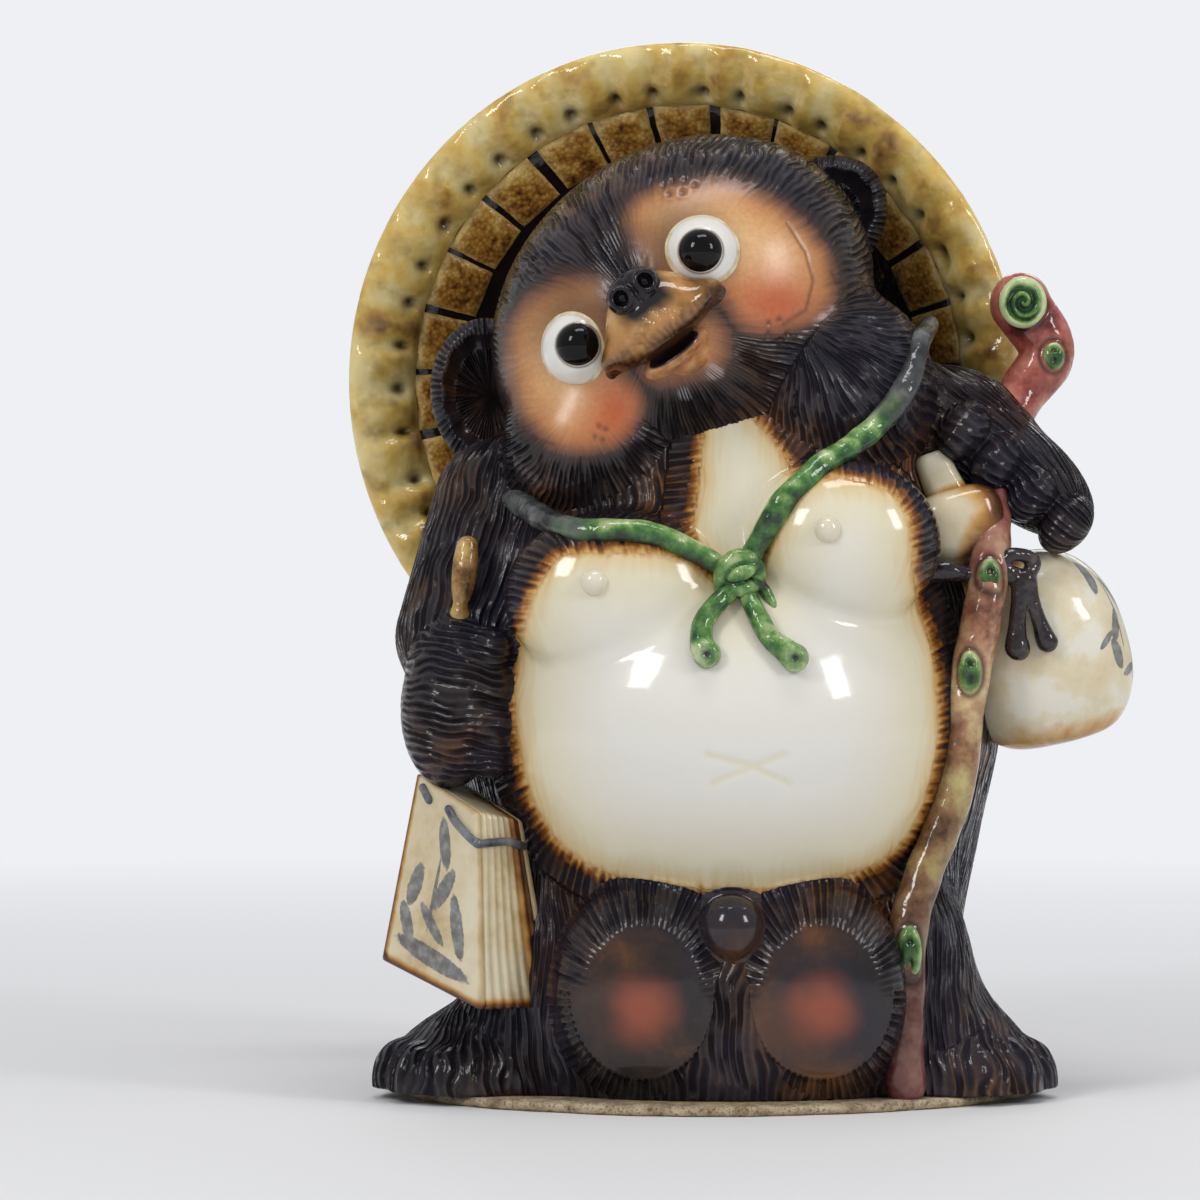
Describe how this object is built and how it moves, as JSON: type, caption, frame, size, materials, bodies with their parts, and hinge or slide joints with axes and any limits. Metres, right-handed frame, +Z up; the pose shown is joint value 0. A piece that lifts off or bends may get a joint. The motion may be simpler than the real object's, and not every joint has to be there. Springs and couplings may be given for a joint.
{
  "type": "tanuki statue",
  "caption": "Standing raccoon-dog good-luck figure in glazed stoneware: hollow body and tilted head, dished hat, staff, gourd flask and hanging ledger",
  "frame": {"origin": "centre of the vent hole in the underside of the base", "axes": "+Z up, the face looks towards -Y, +X is the figure's left"},
  "size_m": [0.3102, 0.2412, 0.417],
  "materials": {
    "fur_glaze": "clear gloss glaze over blue-black brushed fur, running amber at the edges and cream on the belly",
    "eye_white": "gloss white glaze",
    "black_glaze": "gloss black glaze",
    "face_glaze": "gloss amber glaze, darker in the folds",
    "hat_ochre": "gloss ochre glaze, brown in the dimples",
    "hat_amber": "gloss amber-brown glaze over a crackled weave",
    "staff_glaze": "gloss red-brown glaze",
    "green_glaze": "gloss copper-green glaze",
    "cream_glaze": "gloss cream glaze with blue-grey brushwork",
    "cord_glaze": "gloss dark brown glaze",
    "toggle_glaze": "gloss golden-brown glaze",
    "bare_clay": "unglazed buff stoneware"
  },
  "bodies": {
    "root": {"torso_front": "fur_glaze", "torso_back": "fur_glaze", "leg_right": "fur_glaze", "leg_left": "fur_glaze", "foot_right": "fur_glaze", "foot_left": "fur_glaze", "gold_bag_right": "fur_glaze", "gold_bag_left": "fur_glaze", "front_knob": "fur_glaze", "tail": "fur_glaze", "head_front": "fur_glaze", "head_back": "fur_glaze", "ear_right": "fur_glaze", "ear_left": "fur_glaze", "arm_right": "fur_glaze", "hand_right": "fur_glaze", "arm_left": "fur_glaze", "hand_left": "fur_glaze", "eye_right": "eye_white", "eye_left": "eye_white", "pupil_right": "black_glaze", "pupil_left": "black_glaze", "nose": "black_glaze", "snout": "face_glaze", "lower_lip": "face_glaze", "hat_rim": "hat_ochre", "hat_dish": "hat_amber", "staff": "staff_glaze", "staff_knots": "green_glaze", "chin_bow": "green_glaze", "chin_cord_right": "green_glaze", "chin_cord_left": "green_glaze", "tassel_right": "green_glaze", "tassel_left": "green_glaze", "flask": "cream_glaze", "flask_stopper": "cream_glaze", "nipple_right": "cream_glaze", "nipple_left": "cream_glaze", "ledger_front_cover": "cream_glaze", "ledger_pages": "cream_glaze", "ledger_back_cover": "cream_glaze", "flask_cord": "cord_glaze", "ledger_toggle": "toggle_glaze", "base_slab": "bare_clay"}
  },
  "joints": []
}
